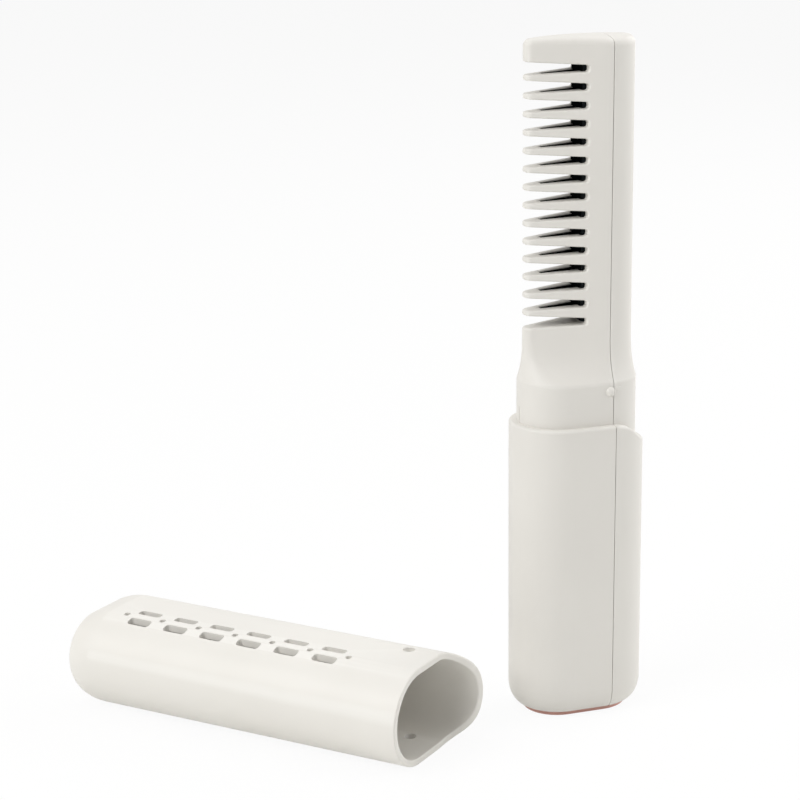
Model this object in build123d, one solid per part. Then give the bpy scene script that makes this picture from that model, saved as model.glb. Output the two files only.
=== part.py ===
"""Cordless hot comb with its protective cap taken off and laid beside it.

The comb stands on its base. +Z runs up the handle, the teeth point to -X and the
spine with its power button faces +X. The origin is the centre of the base.
All sizes are in millimetres.
"""
from build123d import *
from math import asin, cos, hypot, radians, sin
import os

# ---------------------------------------------------------------- driving dimensions
# cell and the holder around it
cell_diameter = 21.2
cell_length = 70.2
cell_gap = 0.2
cell_tip_radius = 4.5
cell_tip_height = 0.8
holder_wall = 1.2
holder_side_gap = 0.8
holder_plate = 1.5
cell_front_gap = 1.25
pad_thickness = 1.0
tab_thickness = 0.2
tab_width = 6.0
tab_leg = 6.0

# board, switch and button, counted along X from the holder to the spine
board_standoff = 2.6
board_thickness = 1.6
board_width = 19.0
switch_height = 3.5
switch_side = 6.0
plunger_height = 0.8
plunger_radius = 1.7
button_room = 5.15
button_radius = 3.2
button_proud = 0.4
button_travel = 0.6
button_flange = 0.9
button_flange_overlap = 0.7
button_drop = 8.3
ring_wall = 1.1
lamp_gap = 0.8
board_screw_low = 12.0
board_screw_drop = 22.0
board_screw_margin = 2.5
board_boss_radius = 2.2
board_screw_depth = 4.5

# casing
shell_wall = 2.2
neck_wall = 2.0
seam_low_x = 6.65
seam_high_x = 7.35
seam_gap = 0.2
base_edge = 1.3
base_edge_round = 0.3
base_lip = 3.7
floor_thickness = 3.1
foot_round_length = 7.35
foot_round_inset = 4.55
headroom = 3.9
rim_dip = 7.3
rim_dip_length = 15.7
rim_dip_setback = 7.05
rim_round = 0.9

# neck and shoulder
neck_height = 12.9
shoulder_height = 14.0
shoulder_sweep = 2.6
shoulder_round = 1.6
nub_radius = 1.6
nub_sink = 0.5
nub_drop = 2.6
nub_offset = 1.0
nub_tail_radius = 0.6
nub_tail_sink = 0.35
nub_tail_proud = 0.2
nub_tail_rise = 0.8
nub_tail_length = 2.2
rib_width = 0.6
rib_height = 6.0
channel_width = 11.0

# comb head and its teeth
head_front_inset = 3.48
head_back_inset = 3.9
head_front_radius = 2.8
head_back_radius = 9.2
head_wall = 2.3
head_round = 2.15
crown_x = 3.7
crown_along_radius = 223.0
crown_across_radius = 30.0
ledge_height = 3.3
tooth_count = 14
tooth_pitch = 5.37
gap_root_height = 2.0
gap_mouth_height = 3.75
gap_root_x = 0.4
gap_root_round = 0.8
gap_edge_round = 0.6
tooth_tip_round = 0.75
tooth_nose_length = 5.2
tooth_trim = 0.05
top_block_height = 8.4
cavity_tip_radius = 0.5

# heater, counted along X from the back of the heating comb
bar_front_x = -0.6
bar_back_x = 2.7
bar_overrun = 1.3
fin_root_height = 3.0
fin_tip_height = 1.8
fin_slot_front_width = 2.2
fin_slot_back_width = 5.6
film_thickness = 0.15
electrode_thickness = 0.25
ptc_thickness = 2.0
ptc_length = 15.6
ptc_width = 9.0
ptc_count = 4
ptc_gap = 0.8
clamp_thickness = 0.8
carrier_thickness = 2.0
pad_length = 5.0
pad_width = 4.4
window_offset = 12.0
window_length = 11.0
window_width = 4.4

# cap
cap_wall = 2.1
cap_end_wall = 1.3
cap_headroom = 3.1
cap_round_length = 11.25
cap_round_inset = 6.86
cap_inner_round_length = 8.7
cap_inner_round_inset = 4.2
cap_mouth_round = 0.5
cap_seat_gap = 0.2
vent_length = 8.0
vent_width = 3.0
vent_corner = 1.0
vent_pitch = 13.33
vent_count = 6
vent_dot_radius = 1.0
vent_row_front_x = -10.4
vent_row_back_x = -4.55
vent_start = 29.8
cap_lie_angle = 42.0
cap_mouth_x = -56.4
cap_mouth_y = -25.3

# clearances and fasteners
fit_gap = 0.3
screw_radius = 0.95
screw_hole_gap = 0.05
screw_head_radius = 1.9
screw_head_height = 1.2
screw_head_depth = 0.4
base_screw_spread = 11.0
wire_radius = 0.8

# charging socket
port_width = 8.94
port_thickness = 3.26
port_length = 7.3
port_recess = 0.9
port_shell = 0.3

# ---------------------------------------------------------------- worked-out sizes
cell_radius = cell_diameter / 2
holder_radius = cell_radius + cell_gap + holder_wall
handle_width = 2 * (holder_radius + holder_side_gap + shell_wall)
handle_depth = (
    shell_wall + cell_front_gap + cell_diameter + cell_gap + holder_wall + board_standoff
    + board_thickness + switch_height + plunger_height + button_room + shell_wall
)
handle_radius = handle_width / 2
handle_centre = (handle_depth - handle_width) / 2
handle_front_x = -handle_depth / 2
handle_back_x = handle_depth / 2

shell_floor_z = base_edge + floor_thickness
holder_low_z = shell_floor_z + cell_gap
cell_low_z = holder_low_z + holder_plate + tab_thickness
cell_high_z = cell_low_z + cell_length
pad_low_z = cell_high_z + tab_thickness
holder_high_z = pad_low_z + pad_thickness + holder_plate
cavity_top_z = holder_high_z + headroom
rim_z = cavity_top_z + shell_wall + rim_dip
neck_top_z = rim_z + neck_height
shoulder_top_z = neck_top_z + shoulder_height
ledge_z = shoulder_top_z + ledge_height
top_gap_high_z = ledge_z + tooth_count * tooth_pitch + gap_root_height
head_top_z = top_gap_high_z + top_block_height

cell_x = handle_front_x + shell_wall + cell_front_gap + cell_radius
board_x = cell_x + holder_radius + board_standoff
board_face_x = board_x + board_thickness
switch_top_x = board_face_x + switch_height
plunger_top_x = switch_top_x + plunger_height
board_low_z = holder_low_z + holder_plate
board_high_z = holder_high_z - holder_plate
button_z = board_high_z - button_drop

neck_inset = cap_wall + fit_gap
neck_radius = handle_radius - neck_inset
neck_front_x = handle_front_x + neck_inset
nub_z = neck_top_z - nub_drop

head_front_x = handle_front_x + head_front_inset
head_back_x = handle_back_x - head_back_inset
head_front_centre = head_front_x + head_front_radius
head_back_centre = head_back_x - head_back_radius
head_slope = (head_back_radius - head_front_radius) / (head_back_centre - head_front_centre)

film_back_x = bar_back_x + 2 * (film_thickness + electrode_thickness) + ptc_thickness
clamp_back_x = film_back_x + clamp_thickness
carrier_back_x = clamp_back_x + carrier_thickness
bar_low_z = ledge_z + gap_root_height / 2 - 0.35
bar_high_z = top_gap_high_z + bar_overrun
screw_low_z = bar_low_z + pad_length / 2
screw_high_z = bar_high_z - pad_length / 2

cap_top_z = head_top_z + cap_headroom + cap_end_wall
far = 2 * head_top_z


# ---------------------------------------------------------------- helpers
def pill(front_x, front_r, back_x, back_r):
    """Two circles on the X axis joined by their outer tangents."""
    tilt = asin((back_r - front_r) / (back_x - front_x))
    front_high = (front_x - front_r * sin(tilt), front_r * cos(tilt))
    back_high = (back_x - back_r * sin(tilt), back_r * cos(tilt))
    front_low = (front_high[0], -front_high[1])
    back_low = (back_high[0], -back_high[1])
    outline = [
        ThreePointArc(front_high, (front_x - front_r, 0), front_low),
        Line(front_low, back_low),
        ThreePointArc(back_low, (back_x + back_r, 0), back_high),
        Line(back_high, front_high),
    ]
    return make_face(outline)


def handle_pill(inset):
    """The handle's section, moved inwards by a distance."""
    radius = handle_radius - inset
    return pill(-handle_centre, radius, handle_centre, radius)


def rise(face, low_z, high_z):
    """A section raised from one height to another."""
    return extrude(Pos(0, 0, low_z) * face, high_z - low_z)


def domed_pill(inset, open_z, closed_z, round_length, round_inset):
    """The handle's section between two heights, its closed end rounded by quarter ellipses."""
    radius = handle_radius - inset
    way = 1 if closed_z > open_z else -1
    centre = (radius - round_inset, closed_z - way * round_length)
    bend = EllipticalCenterArc(centre, round_inset, round_length, start_angle=0, arc_size=way * 90)
    half = make_face([
        Line((0, open_z), (radius, open_z)),
        Line((radius, open_z), bend @ 0),
        bend,
        Line(bend @ 1, (0, closed_z)),
        Line((0, closed_z), (0, open_z)),
    ])
    front_end = revolve(Plane.YZ * half, Axis.Z, 180)
    middle = extrude(Plane.YZ * (half + mirror(half, Plane.YZ)), handle_centre, both=True)
    back_end = Pos(handle_centre, 0, 0) * Rot(0, 0, 180) * front_end
    return Pos(-handle_centre, 0, 0) * front_end + middle + back_end


def block(low, high):
    """A box between two corners."""
    size = [h - l for l, h in zip(low, high)]
    centre = [(l + h) / 2 for l, h in zip(low, high)]
    return Pos(*centre) * Box(*size)


def rod_x(radius, low_x, high_x, y, z):
    """A round rod along X."""
    rod = Cylinder(radius, high_x - low_x)
    return Pos((low_x + high_x) / 2, y, z) * Rot(0, 90, 0) * rod


def rod_y(radius, reach, x, z):
    """A round rod along Y, reaching as far to both sides."""
    return Pos(x, 0, z) * Rot(90, 0, 0) * Cylinder(radius, 2 * reach)


def rod_z(radius, low_z, high_z, x, y):
    """A round rod along Z."""
    return Pos(x, y, (low_z + high_z) / 2) * Cylinder(radius, high_z - low_z)


def seam_at(z):
    """Where the parting line of the casing halves runs; it leans a little to the spine."""
    return seam_low_x + (seam_high_x - seam_low_x) * z / head_top_z


def beside_seam(side):
    """Everything on one side of the parting line, half of its gap away."""
    gap = side * seam_gap / 2
    outline = Polyline(
        (seam_at(-base_edge) + gap, -base_edge),
        (seam_at(cap_top_z) + gap, cap_top_z),
        (side * handle_depth, cap_top_z),
        (side * handle_depth, -base_edge),
        close=True,
    )
    return extrude(Plane.XZ * make_face(outline), handle_width, both=True)


def below_rim(lift):
    """Everything under the rim line, which dips towards the spine."""
    reach = handle_depth
    start_x = rim_dip_setback
    end_x = rim_dip_setback + rim_dip_length
    high_z = rim_z + lift
    low_z = high_z - rim_dip
    outline = [
        Line((-reach, high_z), (start_x, high_z)),
        Spline((start_x, high_z), (end_x, low_z), tangents=[(1, 0), (1, 0)]),
        Line((end_x, low_z), (reach, low_z)),
        Line((reach, low_z), (reach, -reach)),
        Line((reach, -reach), (-reach, -reach)),
        Line((-reach, -reach), (-reach, high_z)),
    ]
    profile = Plane.XZ * make_face(outline)
    return extrude(profile, handle_width, both=True)


# ---------------------------------------------------------------- casing
def lower_body():
    """The handle up to the rim, with the rounded foot and the rounded rim edge."""
    body = domed_pill(0, rim_z + rim_dip, base_edge, foot_round_length, foot_round_inset)
    body = body & below_rim(0)
    rim = [e for e in body.edges() if e.bounding_box().min.Z > rim_z - rim_dip - rim_round]
    return fillet(rim, rim_round)


def shoulder():
    """The hollowed transition from the neck's section to the head's wedge."""
    steps = 5
    sections = []
    for step in range(steps + 1):
        share = step / steps
        keep = (1 - share) ** shoulder_sweep
        front_r = head_front_radius + keep * (neck_radius - head_front_radius)
        back_r = head_back_radius + keep * (neck_radius - head_back_radius)
        front_x = head_front_centre + keep * (-handle_centre - head_front_centre)
        back_x = head_back_centre + keep * (handle_centre - head_back_centre)
        height = neck_top_z + share * shoulder_height
        sections.append(Pos(0, 0, height) * pill(front_x, front_r, back_x, back_r))
    return loft(sections)


def crown():
    """A barrel whose skin is the slightly arched top of the head."""
    across = handle_width
    edge_z = head_top_z - crown_across_radius * (1 - cos(asin(across / 2 / crown_across_radius)))
    axis_z = head_top_z - crown_along_radius
    outline = [
        ThreePointArc((-across / 2, edge_z), (0, head_top_z), (across / 2, edge_z)),
        Polyline(
            (across / 2, edge_z),
            (across / 2, axis_z),
            (-across / 2, axis_z),
            (-across / 2, edge_z),
        ),
    ]
    section = Plane((crown_x, 0, 0), x_dir=(0, 1, 0), z_dir=(1, 0, 0)) * make_face(outline)
    return revolve(section, Axis((crown_x, 0, axis_z), (0, 1, 0)), 360)


def head():
    """The wedge that carries the teeth, with its arched and rounded top."""
    section = pill(head_front_centre, head_front_radius, head_back_centre, head_back_radius)
    body = rise(section, shoulder_top_z, head_top_z + 1) & crown()
    top = body.faces().sort_by(Axis.Z)[-1]
    return fillet(top.edges(), min(head_round, 0.93 * head_front_radius))


def outer_body():
    """The whole casing as one solid, before it is hollowed and split."""
    neck = rise(handle_pill(neck_inset), cavity_top_z, neck_top_z)
    body = neck + shoulder() + head()
    lip = [e for e in body.edges() if abs(e.center().Z - neck_top_z) < 0.01]
    body = fillet(lip, shoulder_round) + lower_body()
    nub_x = seam_at(nub_z) - nub_offset
    tail_x = seam_at(nub_z) + nub_tail_length
    tail_z = nub_z + nub_tail_rise
    tail_skin = rise(handle_pill(neck_inset - nub_tail_proud), rim_z, neck_top_z)
    for side in (-1, 1):
        body += Pos(nub_x, side * (neck_radius - nub_sink), nub_z) * Sphere(nub_radius)
        tail_y = side * (neck_radius - nub_tail_sink)
        tail = rod_x(nub_tail_radius, nub_x, tail_x, tail_y, tail_z)
        tail += Pos(tail_x, tail_y, tail_z) * Sphere(nub_tail_radius)
        body += tail & tail_skin
    rib_low = rim_z - 1
    rib = block(
        (neck_front_x - fit_gap / 2, -rib_width / 2, rib_low),
        (neck_front_x + 1, rib_width / 2, rib_low + rib_height),
    )
    return body + rib


def head_section(gap):
    """The room for the heated bar and the narrow slot for its fins, a gap smaller all round."""
    inner_r = cavity_tip_radius
    reach = inner_r + head_wall + gap - head_front_radius
    front_x = head_front_centre + reach / head_slope
    wedge = pill(front_x, inner_r, head_back_centre, head_back_radius - head_wall - gap)
    behind_teeth = Rectangle(handle_depth, handle_width, align=(Align.MIN, Align.CENTER))
    nose_x = head_front_x + tooth_nose_length + gap
    nose_y = fin_slot_front_width / 2 - gap
    back_y = fin_slot_back_width / 2 - gap
    front_end = [(nose_x, nose_y), (nose_x, -nose_y)]
    back_end = [(bar_back_x, -back_y), (bar_back_x, back_y)]
    slot = make_face(Polyline(*front_end, *back_end, close=True))
    return (wedge & Pos(bar_front_x - fit_gap + gap, 0) * behind_teeth) + slot


def wire_channel():
    """The passage for the wires through the shoulder."""
    half = channel_width / 2
    room_radius = head_back_radius - head_wall
    high_x = head_back_centre + (room_radius**2 - half**2) ** 0.5
    low = (bar_back_x - 0.5, -half, neck_top_z - 2 * neck_wall)
    return block(low, (high_x, half, ledge_z + 1))


def cavity():
    """All the room inside the casing."""
    room = rise(handle_pill(shell_wall), shell_floor_z, cavity_top_z)
    room += rise(handle_pill(neck_inset + neck_wall), shell_floor_z, neck_top_z - neck_wall)
    room += wire_channel()
    room += rise(head_section(0), ledge_z + 0.3, head_top_z - head_wall - 0.5)
    return room


def gap_z(step):
    """The middle height of a gap between the teeth, counted from the ledge."""
    return ledge_z + gap_root_height / 2 + step * tooth_pitch


def tooth_gaps():
    """The gaps between the teeth, wider at the mouth, and the rounding of the tips."""
    mouth_x = head_front_x + tooth_trim
    margin = gap_mouth_height / 2 + 1.5 * tooth_tip_round
    low_z = gap_z(0) - margin
    high_z = gap_z(tooth_count) + margin
    depth = handle_radius
    face = Pos(mouth_x - depth / 2, (low_z + high_z) / 2) * Rectangle(depth, high_z - low_z)
    for step in range(tooth_count + 1):
        z = gap_z(step)
        corners = [
            (mouth_x, z + gap_mouth_height / 2),
            (gap_root_x, z + gap_root_height / 2),
            (gap_root_x, z - gap_root_height / 2),
            (mouth_x, z - gap_mouth_height / 2),
        ]
        gap = make_face(Polyline(corners, close=True))
        roots = gap.vertices().sort_by(Axis.X)[-2:]
        face += fillet(roots, gap_root_round)
    tips = [v for v in face.vertices() if abs(v.X - mouth_x) < 0.01 and low_z + 0.1 < v.Y < high_z - 0.1]
    face = fillet(tips, tooth_tip_round)
    return extrude(Plane.XZ * face, handle_width, both=True)


def flank_reach(x):
    """Half the head's thickness between its front and back rounding."""
    tilt = asin(head_slope)
    return (head_front_radius + (x - head_front_centre) * sin(tilt)) / cos(tilt)


def gap_edges(shell):
    """The edges of the gaps between the teeth that lie on the head's flanks."""
    low_z = gap_z(0) - gap_mouth_height
    high_z = gap_z(tooth_count) + gap_mouth_height
    edges = []
    for edge in shell.edges():
        middle = edge.position_at(0.5)
        beside_gap = head_front_centre < middle.X < gap_root_x + 0.5 and low_z < middle.Z < high_z
        on_flank = abs(abs(middle.Y) - flank_reach(middle.X)) < 0.05
        if beside_gap and on_flank:
            edges.append(edge)
    return edges


def make_shells():
    """The two casing halves: front_shell carries the teeth, back_shell is the spine."""
    body = outer_body() - cavity()
    body -= rise(handle_pill(shell_wall + base_lip), 0, shell_floor_z + 1)
    front = (body & beside_seam(-1)) - tooth_gaps()
    front = fillet(gap_edges(front), gap_edge_round)
    ring_hole = button_radius + fit_gap + ring_wall
    back = body & beside_seam(1)
    back -= rod_x(ring_hole, board_face_x, handle_back_x + 1, 0, button_z)
    return front, back


def make_base_cap():
    """The plate that closes the foot, with its plug, socket opening and screw holes."""
    plate = rise(handle_pill(foot_round_inset), 0, base_edge)
    plate = fillet(plate.faces().sort_by(Axis.Z)[0].edges(), base_edge_round)
    plug = rise(handle_pill(shell_wall + base_lip + fit_gap), base_edge, shell_floor_z)
    cap = plate + plug
    opening = SlotOverall(port_width + 2 * fit_gap, port_thickness + 2 * fit_gap, rotation=90)
    cap -= extrude(Pos(board_face_x + port_thickness / 2, 0, -1) * opening, 2 * shell_floor_z)
    for y in base_screw_y():
        cap -= rod_z(screw_radius + screw_hole_gap, -1, 2 * shell_floor_z, cell_x, y)
        cap -= rod_z(screw_head_radius + fit_gap, -1, base_screw_seat(), cell_x, y)
    return cap


def base_screw_y():
    """Where the two screws of the base sit across the foot."""
    return (-base_screw_spread / 2, base_screw_spread / 2)


def base_screw_seat():
    """The height of the face that the base screws' heads press on."""
    return screw_head_height + screw_head_depth


def make_base_screws():
    """Two countersunk-depth screws from the foot into the cell holder."""
    screws = []
    for y in base_screw_y():
        seat = base_screw_seat()
        screw = rod_z(screw_head_radius, seat - screw_head_height, seat, cell_x, y)
        screw += rod_z(screw_radius, seat, holder_low_z + holder_plate - tab_thickness, cell_x, y)
        screws.append(screw)
    return Compound(children=screws)


# ---------------------------------------------------------------- cell and board
def board_screw_places():
    """Y and Z of the four board screws."""
    places = []
    y = board_width / 2 - board_screw_margin
    for z in (board_low_z + board_screw_low, board_high_z - board_screw_drop):
        places += [(-y, z), (y, z)]
    return places


def make_holder():
    """The cradle around the cell, with end plates and bosses for the board."""
    holder = rod_z(holder_radius, holder_low_z, holder_high_z, cell_x, 0)
    holder = holder & block((cell_x, -far, 0), (far, far, holder_high_z))
    for low_z in (holder_low_z, holder_high_z - holder_plate):
        holder += rise(handle_pill(shell_wall + fit_gap), low_z, low_z + holder_plate)
    for y, z in board_screw_places():
        holder += rod_x(board_boss_radius, cell_x, board_x, y, z)
    holder -= rod_z(cell_radius + cell_gap, board_low_z, board_high_z, cell_x, 0)
    notch_x = board_x - tab_thickness - fit_gap
    holder -= block((notch_x, -far, 0), (far, far, board_low_z + 1))
    holder -= block((notch_x, -far, board_high_z - 1), (far, far, far))
    for low_z in (board_low_z, cell_high_z):
        low = (cell_x, -tab_width / 2 - fit_gap, low_z)
        high = (far, tab_width / 2 + fit_gap, low_z + tab_thickness + 0.1)
        holder -= block(low, high)
    for y, z in board_screw_places():
        hole_x = board_x - board_screw_depth - 0.5
        holder -= rod_x(screw_radius + screw_hole_gap, hole_x, board_x + 1, y, z)
    for y in base_screw_y():
        holder -= rod_z(screw_radius + screw_hole_gap, 0, cell_low_z, cell_x, y)
    return holder


def make_cell():
    """The lithium cell: a can with its raised positive end."""
    can_high_z = cell_high_z - cell_tip_height
    cell = rod_z(cell_radius, cell_low_z, can_high_z, cell_x, 0)
    cell = fillet(cell.edges(), 0.6)
    return cell + rod_z(cell_tip_radius, can_high_z - 0.2, cell_high_z, cell_x, 0)


def make_tabs():
    """Nickel strips from both ends of the cell to the inner face of the board."""
    tabs = []
    for low_z, leg_low, leg_high in (
        (board_low_z, board_low_z, board_low_z + tab_leg),
        (cell_high_z, cell_high_z + tab_thickness - tab_leg, cell_high_z + tab_thickness),
    ):
        strip = block(
            (cell_x - 4, -tab_width / 2, low_z),
            (board_x, tab_width / 2, low_z + tab_thickness),
        )
        leg = block(
            (board_x - tab_thickness, -tab_width / 2, leg_low),
            (board_x, tab_width / 2, leg_high),
        )
        tabs.append(strip + leg)
    return Compound(children=tabs)


def make_pad():
    """Foam disc that keeps the cell pressed against its lower tab."""
    return rod_z(cell_radius - 1.5, pad_low_z, pad_low_z + pad_thickness, cell_x, 0)


def make_board():
    """The circuit board behind the spine."""
    low = (board_x, -board_width / 2, board_low_z)
    high = (board_face_x, board_width / 2, board_high_z)
    board = block(low, high)
    board = fillet(board.edges().filter_by(Axis.X), 1.0)
    for y, z in board_screw_places():
        board -= rod_x(screw_radius + screw_hole_gap, board_x - 1, board_face_x + 1, y, z)
    return board


def make_board_screws():
    """Four screws that hold the board on the holder's bosses."""
    screws = []
    for y, z in board_screw_places():
        head_x = board_face_x + screw_head_height
        screw = rod_x(screw_head_radius, board_face_x, head_x, y, z)
        low_x = board_x - board_screw_depth
        screws.append(screw + rod_x(screw_radius, low_x, board_face_x, y, z))
    return Compound(children=screws)


def make_board_parts():
    """Controller, coil, power transistors and capacitors between the two rows of screws."""
    parts = []
    low_row_z = board_low_z + board_screw_low
    high_row_z = board_high_z - board_screw_drop
    for y_share, z_share, width, length, height in (
        (0.0, 0.45, 7.0, 7.0, 0.9),
        (0.0, 0.13, 6.5, 6.5, 3.0),
        (-0.42, 0.8, 5.0, 6.0, 1.1),
        (0.42, 0.8, 5.0, 6.0, 1.1),
        (-0.74, 0.45, 1.6, 3.2, 1.2),
        (0.74, 0.45, 1.6, 3.2, 1.2),
        (0.74, 0.22, 1.6, 3.2, 1.2),
    ):
        y = y_share * board_width / 2
        z = low_row_z + z_share * (high_row_z - low_row_z)
        low = (board_face_x, y - width / 2, z - length / 2)
        high = (board_face_x + height, y + width / 2, z + length / 2)
        parts.append(block(low, high))
    return Compound(children=parts)


def make_status_leds():
    """Two small lamps on the board that light the ring around the button."""
    lamps = []
    for side in (-1, 1):
        z = button_z + side * (switch_side / 2 + lamp_gap + 0.4)
        low = (board_face_x, -0.8, z - 0.4)
        high = (board_face_x + 0.7, 0.8, z + 0.4)
        lamps.append(block(low, high))
    return Compound(children=lamps)


def make_tact_switch():
    """The push switch under the power button, without its plunger."""
    half = switch_side / 2
    case = block(
        (board_face_x, -half, button_z - half),
        (switch_top_x, half, button_z + half),
    )
    low_x = switch_top_x - 2 * button_travel
    return case - rod_x(plunger_radius + screw_hole_gap, low_x, switch_top_x + 1, 0, button_z)


def make_plunger():
    """The switch's plunger, which the button pushes in."""
    low_x = switch_top_x - button_travel + screw_hole_gap
    return rod_x(plunger_radius, low_x, plunger_top_x, 0, button_z)


def ring_back_x():
    """The inner end of the light ring, where the button's flange stops."""
    return handle_back_x - shell_wall - 2.0


def make_power_button():
    """The button: a slightly domed cap, the flange that keeps it in, and its stem."""
    skin = rise(handle_pill(-button_proud), 0, rim_z)
    flange_high_x = ring_back_x() - 0.1
    cap = rod_x(button_radius, flange_high_x - 0.5, handle_back_x + 2, 0, button_z) & skin
    front_edges = cap.faces().sort_by(Axis.X)[-1].edges()
    cap = fillet(front_edges, 0.3)
    flange_radius = button_radius + button_flange_overlap
    low_x = flange_high_x - button_flange
    button = cap + rod_x(flange_radius, low_x, flange_high_x, 0, button_z)
    return button + rod_x(1.4, plunger_top_x, low_x + 0.1, 0, button_z)


def make_light_ring():
    """The clear ring around the button, flush with the spine, with a flange inside."""
    skin = rise(handle_pill(0), 0, rim_z)
    outer = button_radius + ring_wall
    ring = rod_x(outer, ring_back_x(), handle_back_x + 1, 0, button_z) & skin
    ring += rod_x(outer + 1.0, ring_back_x(), ring_back_x() + 0.6, 0, button_z)
    return ring - rod_x(button_radius + 0.15, 0, handle_back_x + 2, 0, button_z)


def make_charge_port():
    """The charging socket: a drawn metal sleeve with its contact tongue."""
    centre_x = board_face_x + port_thickness / 2
    outside = SlotOverall(port_width, port_thickness, rotation=90)
    inside = SlotOverall(port_width - 2 * port_shell, port_thickness - 2 * port_shell, rotation=90)
    sleeve = extrude(Pos(centre_x, 0, port_recess) * outside, port_length)
    sleeve -= extrude(Pos(centre_x, 0, port_recess - 1) * inside, port_length)
    tongue = block(
        (centre_x - 0.35, -3.3, port_recess + 0.8),
        (centre_x + 0.35, 3.3, port_recess + port_length - 0.5),
    )
    return sleeve + tongue


# ---------------------------------------------------------------- heater
def make_heating_comb():
    """The heated bar with one fin for each tooth and a screw pad at each end."""
    section = head_section(fit_gap)
    body = rise(section, bar_low_z, bar_high_z)
    profile = block((bar_front_x, -far, bar_low_z), (bar_back_x, far, bar_high_z))
    tip_x = head_front_x + tooth_nose_length
    for step in range(tooth_count):
        z = gap_z(step + 0.5)
        outline = Polyline(
            (tip_x, z - fin_tip_height / 2),
            (bar_front_x, z - fin_root_height / 2),
            (bar_front_x, z + fin_root_height / 2),
            (tip_x, z + fin_tip_height / 2),
            close=True,
        )
        profile += extrude(Plane.XZ * make_face(outline), far, both=True)
    comb = body & profile
    for z in (screw_low_z, screw_high_z):
        low = (bar_back_x - 0.5, -pad_width / 2, z - pad_length / 2)
        comb += block(low, (film_back_x, pad_width / 2, z + pad_length / 2))
    for z in (screw_low_z, screw_high_z):
        comb -= rod_x(screw_radius + screw_hole_gap, bar_front_x + 1, far, 0, z)
    return comb


def heater_span():
    """Lowest and highest Z of the row of heating blocks."""
    length = ptc_count * ptc_length + (ptc_count - 1) * ptc_gap
    centre = (bar_low_z + bar_high_z) / 2
    return centre - length / 2, centre + length / 2


def make_ptc_blocks():
    """The ceramic heating blocks."""
    low_x = bar_back_x + film_thickness + electrode_thickness
    low_z = heater_span()[0]
    blocks = []
    for step in range(ptc_count):
        z = low_z + step * (ptc_length + ptc_gap)
        low = (low_x, -ptc_width / 2, z)
        high = (low_x + ptc_thickness, ptc_width / 2, z + ptc_length)
        blocks.append(block(low, high))
    return Compound(children=blocks)


def tab_y(side):
    """Lowest and highest Y of an electrode's solder tab."""
    inner = pad_width / 2 + fit_gap
    outer = ptc_width / 2
    return (inner, outer) if side > 0 else (-outer, -inner)


def make_electrode(side):
    """One contact sheet of the heating blocks, with its solder tab below."""
    low_x = bar_back_x + film_thickness
    if side > 0:
        low_x += electrode_thickness + ptc_thickness
    low_z, high_z = heater_span()
    high_x = low_x + electrode_thickness
    sheet = block((low_x, -ptc_width / 2, low_z), (high_x, ptc_width / 2, high_z))
    low_y, high_y = tab_y(side)
    return sheet + block((low_x, low_y, bar_low_z), (high_x, high_y, low_z))


def make_film():
    """The insulating sleeve wrapped around the heating blocks and contacts."""
    low_z, high_z = heater_span()
    half = ptc_width / 2
    sleeve = block(
        (bar_back_x, -half - film_thickness, low_z),
        (film_back_x, half + film_thickness, high_z),
    )
    return sleeve - block(
        (bar_back_x + film_thickness, -half, low_z - 1),
        (film_back_x - film_thickness, half, high_z + 1),
    )


def make_clamp():
    """The spring-steel strip that presses the heating blocks on the comb."""
    half = ptc_width / 2 + 0.6
    strip = block((film_back_x, -half, bar_low_z + 0.5), (clamp_back_x, half, bar_high_z - 0.5))
    strip = fillet(strip.edges().filter_by(Axis.X), 1.0)
    for z in (screw_low_z, screw_high_z):
        strip -= rod_x(screw_radius + screw_hole_gap, 0, far, 0, z)
    return strip


def sensor_window_z():
    """Middle height of the carrier's window for the temperature sensor."""
    return (bar_low_z + bar_high_z) / 2 - window_offset


def fuse_window_z():
    """Middle height of the carrier's window for the thermal fuse."""
    return (bar_low_z + bar_high_z) / 2 + window_offset


def make_carrier():
    """The heat-resistant frame behind the clamp that centres the heater in the head."""
    body = rise(head_section(fit_gap), bar_low_z, bar_high_z)
    carrier = body & block((clamp_back_x, -far, 0), (carrier_back_x, far, bar_high_z + 1))
    for z in (sensor_window_z(), fuse_window_z()):
        low = (0, -window_width / 2, z - window_length / 2)
        carrier -= block(low, (far, window_width / 2, z + window_length / 2))
    for z in (screw_low_z, screw_high_z):
        carrier -= rod_x(screw_radius + screw_hole_gap, 0, far, 0, z)
    return carrier


def make_heater_screws():
    """Two screws through carrier and clamp into the comb's pads."""
    screws = []
    for z in (screw_low_z, screw_high_z):
        head_x = carrier_back_x + screw_head_height
        screw = rod_x(screw_head_radius, carrier_back_x, head_x, 0, z)
        screws.append(screw + rod_x(screw_radius, bar_front_x + 1.5, carrier_back_x, 0, z))
    return Compound(children=screws)


def make_sensor():
    """The temperature sensor: a glass bead lying on the clamp strip."""
    radius = 1.1
    z = sensor_window_z()
    bead = rod_z(radius, z - 2.5, z + 2.5, clamp_back_x + radius, 0)
    return fillet(bead.edges(), 0.9)


def make_thermal_fuse():
    """The one-shot thermal fuse beside the clamp strip."""
    radius = 1.6
    z = fuse_window_z()
    can = rod_z(radius, z - 4.5, z + 4.5, clamp_back_x + radius, 0)
    return fillet(can.edges(), 0.4)


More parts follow.
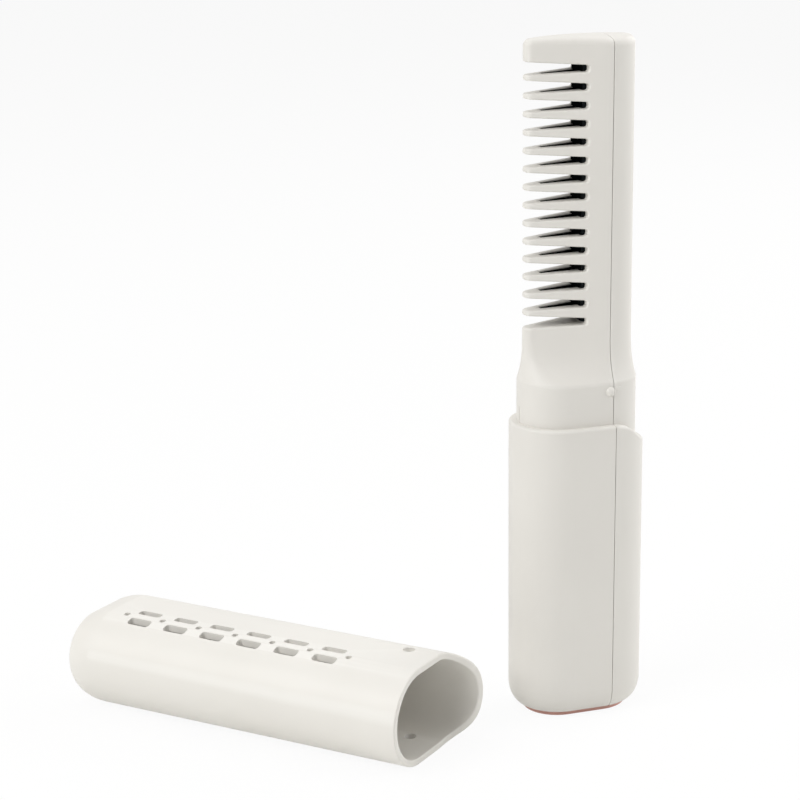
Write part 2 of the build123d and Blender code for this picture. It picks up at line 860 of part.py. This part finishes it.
def make_heater_wires():
    """Two insulated wires from the board up to the contacts' tabs."""
    wires = []
    start_z = button_z + switch_side / 2 + 2
    for side in (-1, 1):
        low_y, high_y = tab_y(side)
        y = (low_y + high_y) / 2
        tab_x = bar_back_x + film_thickness + electrode_thickness
        if side > 0:
            tab_x = film_back_x - film_thickness - electrode_thickness - 2 * wire_radius
        top_x = tab_x + wire_radius
        low_x = board_face_x + wire_radius
        path = FilletPolyline(
            (low_x, y, start_z),
            (low_x, y, neck_top_z - 12),
            (top_x, y, neck_top_z + 2),
            (top_x, y, bar_low_z + 1.5),
            radius=8.0,
        )
        wires.append(sweep(Plane(origin=path @ 0, z_dir=path % 0) * Circle(wire_radius), path))
    return Compound(children=wires)


# ---------------------------------------------------------------- cap
def vent_cutters():
    """Slots in two rows and a row of small holes between them, on both flanks."""
    cutters = []
    reach = handle_width
    dot_x = (vent_row_front_x + vent_row_back_x) / 2
    for step in range(vent_count):
        z = rim_z + vent_start + step * vent_pitch
        for x in (vent_row_front_x, vent_row_back_x):
            slot = RectangleRounded(vent_width, vent_length, vent_corner)
            cutters.append(extrude(Plane.XZ * Pos(x, z) * slot, reach, both=True))
    for step in range(vent_count + 1):
        z = rim_z + vent_start + (step - 0.5) * vent_pitch
        cutters.append(rod_y(vent_dot_radius, reach, dot_x, z))
    return cutters


def skin_depth(point):
    """How far a point lies inside the handle's outer skin."""
    beyond = max(abs(point.X) - handle_centre, 0)
    return handle_radius - hypot(beyond, point.Y)


def mouth_edges(cap):
    """The outer and inner edge around the mouth of the cap, where it sits on the comb."""
    low_z = rim_z - rim_dip - 1
    edges = []
    for edge in cap.edges():
        middle = edge.position_at(0.5)
        depth = skin_depth(middle)
        on_skin = min(abs(depth), abs(depth - cap_wall)) < 0.05
        if on_skin and low_z < middle.Z < rim_z + 1:
            edges.append(edge)
    return edges


def make_cap():
    """The cap, drawn where it sits on the comb and then laid on its flank."""
    low_z = rim_z - 2 * rim_dip
    outside = domed_pill(0, low_z, cap_top_z, cap_round_length, cap_round_inset)
    inside = domed_pill(
        cap_wall, low_z, cap_top_z - cap_end_wall, cap_inner_round_length, cap_inner_round_inset
    )
    cap = outside - inside - below_rim(cap_seat_gap)
    cap = fillet(mouth_edges(cap), cap_mouth_round)
    for cutter in vent_cutters():
        cap -= cutter
    cap -= rod_y(nub_radius + fit_gap, handle_width, seam_at(nub_z) - nub_offset, nub_z)
    turn = radians(cap_lie_angle)
    lying = Plane(
        origin=(cap_mouth_x, cap_mouth_y, handle_radius),
        x_dir=(cos(turn), sin(turn), 0),
        z_dir=(-sin(turn), cos(turn), 0),
    )
    return lying.location * Pos(0, 0, -rim_z) * cap


# ---------------------------------------------------------------- the whole part
def make_parts():
    """Every named piece of the comb."""
    front_shell, back_shell = make_shells()
    return {
        "front_shell": front_shell,
        "back_shell": back_shell,
        "base_cap": make_base_cap(),
        "base_screws": make_base_screws(),
        "battery_holder": make_holder(),
        "battery_cell": make_cell(),
        "battery_tabs": make_tabs(),
        "battery_pad": make_pad(),
        "main_board": make_board(),
        "board_screws": make_board_screws(),
        "board_parts": make_board_parts(),
        "status_leds": make_status_leds(),
        "tact_switch": make_tact_switch(),
        "switch_plunger": make_plunger(),
        "power_button": make_power_button(),
        "light_ring": make_light_ring(),
        "charge_port": make_charge_port(),
        "heating_comb": make_heating_comb(),
        "ptc_blocks": make_ptc_blocks(),
        "front_electrode": make_electrode(-1),
        "back_electrode": make_electrode(1),
        "insulating_film": make_film(),
        "clamp_strip": make_clamp(),
        "heater_carrier": make_carrier(),
        "heater_screws": make_heater_screws(),
        "temperature_sensor": make_sensor(),
        "thermal_fuse": make_thermal_fuse(),
        "heater_wires": make_heater_wires(),
        "cap": make_cap(),
    }


os.makedirs("parts", exist_ok=True)
for name, shape in make_parts().items():
    export_step(shape, f"parts/{name}.step")
    print(name, "volume", round(shape.volume, 1), "mm3")
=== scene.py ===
# %% [markdown]
# # A cordless hot comb and its cap
# The comb stands on its base beside the protective cap that has been pulled off it. Its shape comes from a
# CAD model, which is loaded as a fixed frame. This notebook gives every piece its finish, sets up a soft
# white studio and places the camera. Blender works in metres, and the factor MM turns a size in millimetres
# to metres. Only the camera's lens and sensor are given to Blender in millimetres.

# %% Load the frame
from math import radians

import bpy
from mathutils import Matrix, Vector

MM = 0.001
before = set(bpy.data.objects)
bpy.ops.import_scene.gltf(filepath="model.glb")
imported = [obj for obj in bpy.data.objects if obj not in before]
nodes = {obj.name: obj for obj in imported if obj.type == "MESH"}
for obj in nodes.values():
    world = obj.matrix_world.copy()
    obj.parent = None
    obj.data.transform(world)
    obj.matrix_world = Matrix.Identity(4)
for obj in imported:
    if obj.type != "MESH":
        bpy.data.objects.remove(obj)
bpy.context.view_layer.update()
scene = bpy.context.scene
print("pieces in the frame:", len(nodes))

# %% [markdown]
# # From a hex value to linear light
# Colours are picked as sRGB hex values, the way a paint or plastic supplier lists them, but a shader needs
# linear light. The sRGB curve is straight in the darkest tones and a power above them. One function takes
# both stretches back, channel by channel, so that no colour has to be turned by hand.


# %% Hex to linear
def linear(hex_colour):
    """An sRGB hex value such as E6E2DC as linear red, green, blue and alpha."""
    channels = [int(hex_colour[i:i + 2], 16) / 255 for i in (0, 2, 4)]
    bent = [c / 12.92 if c <= 0.04045 else ((c + 0.055) / 1.055) ** 2.4 for c in channels]
    return (*bent, 1.0)


print("warm white in linear light:", [round(c, 3) for c in linear("E6E2DC")[:3]])

# %% [markdown]
# # One helper for every node
# A material is a small network of nodes. One function adds a node, fills in its settings and plugs in what
# feeds it, so that a material reads as a list of its ingredients. A second one starts a material: it gives
# back the shader at the end of the network and the piece's own coordinates in metres. A pattern that uses
# these keeps its real size and stays on the piece when the piece moves. A Mix node has separate sockets
# for numbers, vectors and colours, and those that a mix of two colours needs are numbered below.

# %% Node helpers
MIX_FACTOR = 0
MIX_FIRST = 6
MIX_SECOND = 7
MIX_RESULT = 2


def add_node(tree, kind, settings=(), links=()):
    """Add a shader node: settings pair a name with its value, and links pair a socket with its source."""
    node = tree.nodes.new(kind)
    for name, value in settings:
        if isinstance(name, str) and hasattr(node, name):
            setattr(node, name, value)
        else:
            node.inputs[name].default_value = value
    for name, source in links:
        tree.links.new(source, node.inputs[name])
    return node


def new_material(name):
    """A new material with its node tree, its surface shader and the piece's own coordinates."""
    material = bpy.data.materials.new(name)
    material.use_nodes = True
    tree = material.node_tree
    shader = tree.nodes["Principled BSDF"]
    place = add_node(tree, "ShaderNodeTexCoord").outputs["Object"]
    return material, tree, shader, place


print("sockets that mix two colours:", MIX_FACTOR, MIX_FIRST, MIX_SECOND)

# %% [markdown]
# # Moulded plastic
# The casing, the cap, the foot and the button are injection-moulded ABS. The mould is spark-eroded, which
# leaves a fine matt grain of about a fifth of a millimetre, so highlights are broad and soft. The grain is
# a noise that drives a very shallow bump. A second, slow noise shifts the colour and gloss a little over
# centimetres, as flow and handling do. Convex edges get a painted highlight: the Pointiness output finds
# them, and their colour is mixed towards a paler one. Bump is enough for the grain, because it is far finer
# than anything that could change the outline.

# %% Moulded plastic as a recipe
ABS_IOR = 1.53
GRAIN_MM = 0.22
GRAIN_DEPTH_MM = 0.006
FLOW_MM = 28
# Pointiness range over which the painted highlight on the edges fades in, and its largest share.
EDGE_FROM = 0.52
EDGE_FULL = 0.62
EDGE_HIGHLIGHT_SHARE = 0.5
FLOW_SMOOTHER = 0.05
FLOW_ROUGHER = 0.06


def moulded_plastic(name, colour, shade, edge_highlight, roughness, grain_depth_mm=GRAIN_DEPTH_MM):
    """Matt injection-moulded plastic: colour drifts to shade, and convex edges get a painted highlight of
    edge_highlight.
    """
    material, tree, shader, place = new_material(name)
    drift = add_node(
        tree, "ShaderNodeTexNoise",
        [("Scale", 1 / (FLOW_MM * MM)), ("Detail", 2.0), ("Roughness", 0.45)],
        [("Vector", place)],
    ).outputs["Fac"]
    body = add_node(
        tree, "ShaderNodeMix",
        [("data_type", "RGBA"), (MIX_FIRST, linear(colour)), (MIX_SECOND, linear(shade))],
        [(MIX_FACTOR, drift)],
    ).outputs[MIX_RESULT]
    bend = add_node(tree, "ShaderNodeNewGeometry").outputs["Pointiness"]
    # Painted highlight: convex edges that Pointiness finds are mixed towards a paler colour.
    painted_edge_highlight = add_node(
        tree, "ShaderNodeMapRange",
        [("From Min", EDGE_FROM), ("From Max", EDGE_FULL), ("To Min", 0.0), ("To Max", EDGE_HIGHLIGHT_SHARE)],
        [("Value", bend)],
    ).outputs["Result"]
    surface = add_node(
        tree, "ShaderNodeMix",
        [("data_type", "RGBA"), (MIX_SECOND, linear(edge_highlight))],
        [(MIX_FACTOR, painted_edge_highlight), (MIX_FIRST, body)],
    ).outputs[MIX_RESULT]
    grain = add_node(
        tree, "ShaderNodeTexNoise",
        [("Scale", 1 / (GRAIN_MM * MM)), ("Detail", 1.0), ("Roughness", 0.5)],
        [("Vector", place)],
    ).outputs["Fac"]
    gloss = add_node(
        tree, "ShaderNodeMapRange",
        [("To Min", roughness - FLOW_SMOOTHER), ("To Max", roughness + FLOW_ROUGHER)],
        [("Value", drift)],
    ).outputs["Result"]
    bump = add_node(
        tree, "ShaderNodeBump",
        [("Strength", 0.55), ("Distance", grain_depth_mm * MM)],
        [("Height", grain)],
    ).outputs["Normal"]
    shader.inputs["IOR"].default_value = ABS_IOR
    tree.links.new(surface, shader.inputs["Base Color"])
    tree.links.new(gloss, shader.inputs["Roughness"])
    tree.links.new(bump, shader.inputs["Normal"])
    return material


print("grain and flow of the moulded plastic in mm:", GRAIN_MM, FLOW_MM)

# %% [markdown]
# # The plastics of this comb
# One recipe gives five finishes of the same plastic. The casing is a warm white, and the cap comes from
# another mould and is a touch lighter. The foot is dyed a dusty rose right through. The button is satin,
# because its mould is polished before the grain is put in, so its grain is half as deep. The cradle of the
# cell is dark and plain, since it is never seen in use.

# %% Plastics
# The third colour of each plastic is the paler painted highlight on its edges.
casing_abs = moulded_plastic("matt_abs_casing", "E3E0DA", "DDDAD4", "EEECE7", 0.50)
cap_abs = moulded_plastic("matt_abs_cap", "E8E5DF", "E2DFD8", "F1EFEA", 0.48)
foot_abs = moulded_plastic("matt_abs_foot_rose", "DDA89B", "D39C90", "E6B8AD", 0.52)
button_abs = moulded_plastic("satin_abs_button", "E6E3DD", "E0DDD7", "F0EEE9", 0.38, grain_depth_mm=0.003)
holder_abs = moulded_plastic("plain_abs_holder", "2A2A2C", "242426", "3A3A3C", 0.55)
plastics = [casing_abs, cap_abs, foot_abs, button_abs, holder_abs]
print("moulded plastics:", [plastic.name for plastic in plastics])

# %% [markdown]
# # Black anodised aluminium
# The heated comb is an aluminium bar with a fin for every guard tooth. It is anodised black, which makes it
# hard and keeps bare metal off the hair. The dye in the pores leaves almost no colour, but the metal below
# still gives a dark grey sheen. So the shader is fully metallic with a nearly black base, and a dark
# Specular Tint keeps the sheen low where light only grazes the surface. Bead blasting before the bath
# leaves a grit of about a tenth of a millimetre, drawn coarser here so that it shows.

# %% Anodised aluminium
GRIT_MM = 0.18
GRIT_DEPTH_MM = 0.008
BATH_MM = 9
heated_metal, tree, shader, place = new_material("black_anodised_aluminium")
grit = add_node(
    tree, "ShaderNodeTexNoise",
    [("Scale", 1 / (GRIT_MM * MM)), ("Detail", 2.0)],
    [("Vector", place)],
).outputs["Fac"]
bath = add_node(
    tree, "ShaderNodeTexNoise",
    [("Scale", 1 / (BATH_MM * MM)), ("Detail", 3.0)],
    [("Vector", place)],
).outputs["Fac"]
dye = add_node(
    tree, "ShaderNodeMix",
    [("data_type", "RGBA"), (MIX_FIRST, linear("1A1D1E")), (MIX_SECOND, linear("232728"))],
    [(MIX_FACTOR, bath)],
).outputs[MIX_RESULT]
sheen = add_node(
    tree, "ShaderNodeMapRange",
    [("To Min", 0.52), ("To Max", 0.64)],
    [("Value", bath)],
).outputs["Result"]
blasted = add_node(
    tree, "ShaderNodeBump",
    [("Strength", 0.5), ("Distance", GRIT_DEPTH_MM * MM)],
    [("Height", grit)],
).outputs["Normal"]
shader.inputs["Metallic"].default_value = 1.0
shader.inputs["Specular Tint"].default_value = linear("4A4E50")
tree.links.new(dye, shader.inputs["Base Color"])
tree.links.new(sheen, shader.inputs["Roughness"])
tree.links.new(blasted, shader.inputs["Normal"])
print("heated comb:", heated_metal.name)

# %% [markdown]
# # The lit ring
# A ring of milky polycarbonate surrounds the power button and carries the light of small red lamps to the
# outside. Polycarbonate is clear, so a diffusing powder is mixed in, and the ring glows evenly. A base
# colour with a weak emission of the same hue gives that without tracing light through the real lamps.

# %% Diffusing polycarbonate
POLYCARBONATE_IOR = 1.585
POWDER_MM = 0.8
lit_ring, tree, shader, place = new_material("diffusing_polycarbonate")
powder = add_node(
    tree, "ShaderNodeTexNoise",
    [("Scale", 1 / (POWDER_MM * MM)), ("Detail", 2.0)],
    [("Vector", place)],
).outputs["Fac"]
milk = add_node(
    tree, "ShaderNodeMix",
    [("data_type", "RGBA"), (MIX_FIRST, linear("E59B90")), (MIX_SECOND, linear("DD8478"))],
    [(MIX_FACTOR, powder)],
).outputs[MIX_RESULT]
tree.links.new(milk, shader.inputs["Base Color"])
shader.inputs["IOR"].default_value = POLYCARBONATE_IOR
shader.inputs["Roughness"].default_value = 0.32
shader.inputs["Emission Color"].default_value = linear("FF3A22")
shader.inputs["Emission Strength"].default_value = 0.35
print("ring:", lit_ring.name)

# %% [markdown]
# # Bare metals inside
# The pieces inside the casing are hidden once the comb is closed, but an exploded or cut view shows them.
# Screws, strips and cans are rolled or drawn, which leaves fine streaks along one direction, and these
# blur a reflection unevenly. A noise that is stretched along Z gives the streaks and drives the roughness
# alone, because a bare metal has the same colour all over.

# %% Rolled and drawn metal
STREAK_MM = 0.3
STREAK_TIMES_LONGER = 25
STREAK_SMOOTHER = 0.08
STREAK_ROUGHER = 0.10


def rolled_metal(name, colour, roughness):
    """Bare metal with fine rolling streaks along Z."""
    material, tree, shader, place = new_material(name)
    along = add_node(
        tree, "ShaderNodeMapping",
        [("Scale", (1.0, 1.0, 1 / STREAK_TIMES_LONGER))],
        [("Vector", place)],
    ).outputs["Vector"]
    streaks = add_node(
        tree, "ShaderNodeTexNoise",
        [("Scale", 1 / (STREAK_MM * MM)), ("Detail", 2.0)],
        [("Vector", along)],
    ).outputs["Fac"]
    finish = add_node(
        tree, "ShaderNodeMapRange",
        [("To Min", roughness - STREAK_SMOOTHER), ("To Max", roughness + STREAK_ROUGHER)],
        [("Value", streaks)],
    ).outputs["Result"]
    shader.inputs["Base Color"].default_value = linear(colour)
    shader.inputs["Metallic"].default_value = 1.0
    tree.links.new(finish, shader.inputs["Roughness"])
    return material


# Zinc and tin are thin bright coats. Nickel is a little yellow, and spring steel is dark from hardening.
zinc = rolled_metal("zinc_plated_steel", "C9CACD", 0.30)
nickel = rolled_metal("nickel_strip", "C6C2B8", 0.28)
spring_steel = rolled_metal("rolled_spring_steel", "8E9094", 0.34)
stainless = rolled_metal("drawn_stainless_steel", "BFC0C4", 0.22)
fuse_metal = rolled_metal("tinned_fuse_can", "B4B6BA", 0.32)
metals = [zinc, nickel, spring_steel, stainless, fuse_metal]
print("bare metals:", [metal.name for metal in metals])

# %% [markdown]
# # Plastics, ceramics and films inside
# Every other piece inside is a dielectric, and its colour wanders a little in spots: large ones where a
# lacquer or a film changes thickness, and small ones where a powder or a bubble shows. One recipe takes the
# two shades, the roughness and the size of a spot, and the spots shift the gloss a little as well.

# %% Mottled dielectrics
PLAIN_IOR = 1.5
SPOT_GLOSS_SHIFT = 0.05


def mottled_dielectric(name, colour, shade, roughness, spot_mm, ior=PLAIN_IOR):
    """A non-metal whose colour wanders between two shades in spots of a real size."""
    material, tree, shader, place = new_material(name)
    spots = add_node(
        tree, "ShaderNodeTexNoise",
        [("Scale", 1 / (spot_mm * MM)), ("Detail", 3.0)],
        [("Vector", place)],
    ).outputs["Fac"]
    body = add_node(
        tree, "ShaderNodeMix",
        [("data_type", "RGBA"), (MIX_FIRST, linear(colour)), (MIX_SECOND, linear(shade))],
        [(MIX_FACTOR, spots)],
    ).outputs[MIX_RESULT]
    finish = add_node(
        tree, "ShaderNodeMapRange",
        [("To Min", roughness - SPOT_GLOSS_SHIFT), ("To Max", roughness + SPOT_GLOSS_SHIFT)],
        [("Value", spots)],
    ).outputs["Result"]
    shader.inputs["IOR"].default_value = ior
    tree.links.new(body, shader.inputs["Base Color"])
    tree.links.new(finish, shader.inputs["Roughness"])
    return material


# Films, lacquers, glass and cast epoxy are smooth and shine.
sleeve = mottled_dielectric("shrink_sleeve_blue", "2A6F9E", "256590", 0.30, spot_mm=20)
mask = mottled_dielectric("solder_mask_green", "0F4A27", "145A30", 0.28, spot_mm=2)
lamp_epoxy = mottled_dielectric("clear_lamp_epoxy", "D8402C", "C8361F", 0.15, spot_mm=0.5, ior=1.54)
polyimide = mottled_dielectric("amber_polyimide_film", "C67D22", "B87019", 0.20, spot_mm=3, ior=1.7)
bead_glass = mottled_dielectric("thermistor_bead_glass", "CF8A4A", "B87538", 0.12, spot_mm=1)
# Foam, rubber, pressed ceramic and filled plastics scatter light at their surface and look dull.
foam = mottled_dielectric("closed_cell_foam", "232325", "303033", 0.85, spot_mm=0.6)
epoxy = mottled_dielectric("moulded_epoxy_black", "18181A", "202022", 0.45, spot_mm=0.5)
nylon = mottled_dielectric("moulded_nylon_black", "1A1A1C", "222224", 0.40, spot_mm=0.8)
ceramic = mottled_dielectric("fired_titanate_ceramic", "A9A397", "9B9588", 0.60, spot_mm=0.7)
pps = mottled_dielectric("glass_filled_pps", "201E1B", "2A2825", 0.55, spot_mm=0.4)
silicone = mottled_dielectric("silicone_insulation_red", "B5241C", "A61F18", 0.50, spot_mm=1.5)
print("materials so far:", len(bpy.data.materials))

# %% [markdown]
# # Dress the pieces
# Each CAD node keeps its mesh and only gets a material. The table below reads like a parts list: what the
# piece is on the left, what it is made of on the right. A node that the table misses stops the script.

# %% Give each piece its finish
finishes = {
    "front_shell": casing_abs,
    "back_shell": casing_abs,
    "cap": cap_abs,
    "base_cap": foot_abs,
    "power_button": button_abs,
    "light_ring": lit_ring,
    "heating_comb": heated_metal,
    "base_screws": zinc,
    "board_screws": zinc,
    "heater_screws": zinc,
    "battery_holder": holder_abs,
    "battery_cell": sleeve,
    "battery_tabs": nickel,
    "battery_pad": foam,
    "main_board": mask,
    "board_parts": epoxy,
    "status_leds": lamp_epoxy,
    "tact_switch": nylon,
    "switch_plunger": nylon,
    "charge_port": stainless,
    "ptc_blocks": ceramic,
    "front_electrode": nickel,
    "back_electrode": nickel,
    "insulating_film": polyimide,
    "clamp_strip": spring_steel,
    "heater_carrier": pps,
    "temperature_sensor": bead_glass,
    "thermal_fuse": fuse_metal,
    "heater_wires": silicone,
}
for name, node in nodes.items():
    node.data.materials.clear()
    node.data.materials.append(finishes[name])
print("dressed pieces:", len(finishes))

# %% [markdown]
# # The paper floor
# The comb stands on a wide sheet of white paper. A camera would see its far parts grey, because the lamps
# are aimed at the comb, and more light would wash out the white plastic. So the paper answers two kinds of
# rays in two ways, which the Light Path node tells apart. To the camera, to a mirror and through a clear
# piece it is mostly plain white. To light that bounces around it is ordinary paper. A small share of its
# own shading stays in the first answer too, and that share carries the soft shadow.

# %% Floor
FLOOR_HALF = 3.0
FLOOR_SHADE_SHARE = 0.08


def looked_at(tree):
    """1 for a camera, glossy or transmission ray, and 0 for any other."""
    rays = add_node(tree, "ShaderNodeLightPath").outputs
    share = rays["Is Camera Ray"]
    for kind in ("Is Glossy Ray", "Is Transmission Ray"):
        share = add_node(
            tree, "ShaderNodeMath",
            [("operation", "MAXIMUM")],
            [(0, share), (1, rays[kind])],
        ).outputs[0]
    return share


floor_mesh = bpy.data.meshes.new("floor")
corners = [(-1, -1), (1, -1), (1, 1), (-1, 1)]
floor_mesh.from_pydata([(x * FLOOR_HALF, y * FLOOR_HALF, 0) for x, y in corners], [], [(0, 1, 2, 3)])
floor = bpy.data.objects.new("floor", floor_mesh)
scene.collection.objects.link(floor)

paper = bpy.data.materials.new("white_paper_floor")
paper.use_nodes = True
tree = paper.node_tree
tree.nodes.clear()
glow_share = add_node(
    tree, "ShaderNodeMath",
    [("operation", "MULTIPLY"), (1, 1 - FLOOR_SHADE_SHARE)],
    [(0, looked_at(tree))],
).outputs[0]
diffuse = add_node(tree, "ShaderNodeBsdfDiffuse", [("Color", linear("F4F4F2"))]).outputs[0]
white = add_node(tree, "ShaderNodeEmission", [("Strength", 1.0)]).outputs[0]
blend = add_node(tree, "ShaderNodeMixShader", (), [(0, glow_share), (1, diffuse), (2, white)])
add_node(tree, "ShaderNodeOutputMaterial", (), [("Surface", blend.outputs[0])])
floor_mesh.materials.append(paper)
print("floor side in m:", 2 * FLOOR_HALF)

# %% [markdown]
# # The white tent
# A product like this is shot inside a tent of white cloth, which sends soft light from all sides. The world
# is that tent. Its cloth is a pale grey, and it is lit to full strength where the camera, a mirror or a
# clear piece looks at it. As a light on the comb it is much weaker, so that the softboxes model the form.

# %% World
TENT_CLOTH = (0.8, 0.8, 0.8, 1.0)
WORLD_STRENGTH = 0.35
world = bpy.data.worlds.new("white_tent")
scene.world = world
world.use_nodes = True
tree = world.node_tree
tree.nodes.clear()
level = add_node(
    tree, "ShaderNodeMapRange",
    [("To Min", WORLD_STRENGTH), ("To Max", 1.0)],
    [("Value", looked_at(tree))],
).outputs["Result"]
tent = add_node(tree, "ShaderNodeBackground", [("Color", TENT_CLOTH)], [("Strength", level)])
add_node(tree, "ShaderNodeOutputWorld", (), [("Surface", tent.outputs[0])])
print("world strength:", WORLD_STRENGTH)

# %% [markdown]
# # Four softboxes
# White plastic needs light that wraps around it, so each lamp is a square of about a metre, some 1.4 m
# away, and its shadows are soft. The key stands high on the left. One on the right fills the spine, one
# behind it lifts the far edges off the paper, and one above the set lights the crown and the cap.

# %% Softboxes
LAMPS_AIM = (-0.04, 0.0, 0.08)


def softbox(name, place, width, watts):
    """A square area lamp at a place in metres, aimed at the set."""
    lamp = bpy.data.lights.new(name, "AREA")
    lamp.size = width
    lamp.energy = watts
    holder = bpy.data.objects.new(name, lamp)
    holder.location = place
    holder.rotation_mode = "QUATERNION"
    holder.rotation_quaternion = (Vector(LAMPS_AIM) - Vector(place)).to_track_quat("-Z", "Y")
    scene.collection.objects.link(holder)


softbox("key_softbox", (-1.1, -0.35, 0.9), width=0.9, watts=11.9)
softbox("right_softbox", (1.1, -0.5, 0.6), width=0.8, watts=6.4)
softbox("back_softbox", (1.1, 0.5, 0.7), width=0.8, watts=6.2)
softbox("top_softbox", (-0.1, 0.3, 1.4), width=1.2, watts=6.4)

# %% [markdown]
# # The camera
# A long lens from a little above keeps the handle's sides nearly parallel. The comb stands right of the
# middle of the picture. The lens is shifted sideways for that, as on a view camera, so the comb stays near
# the lens's own axis and stands upright, where a turned camera would make it lean.

# %% Camera
SENSOR_WIDTH_MM = 36.0
LENS_MM = 100.54
CAMERA_PLACE_MM = (-254.4, -606.1, 272.5)
CAMERA_TURN_DEG = 20.85
CAMERA_TILT_DEG = 14.89
CAMERA_SHIFT = -0.1296
lens = bpy.data.cameras.new("camera")
lens.lens = LENS_MM
lens.sensor_width = SENSOR_WIDTH_MM
lens.shift_x = CAMERA_SHIFT
camera = bpy.data.objects.new("camera", lens)
camera.location = [c * MM for c in CAMERA_PLACE_MM]
camera.rotation_euler = (radians(90 - CAMERA_TILT_DEG), 0, radians(-CAMERA_TURN_DEG))
scene.collection.objects.link(camera)
scene.camera = camera
scene.view_settings.view_transform = "Standard"
print("camera at mm:", CAMERA_PLACE_MM)
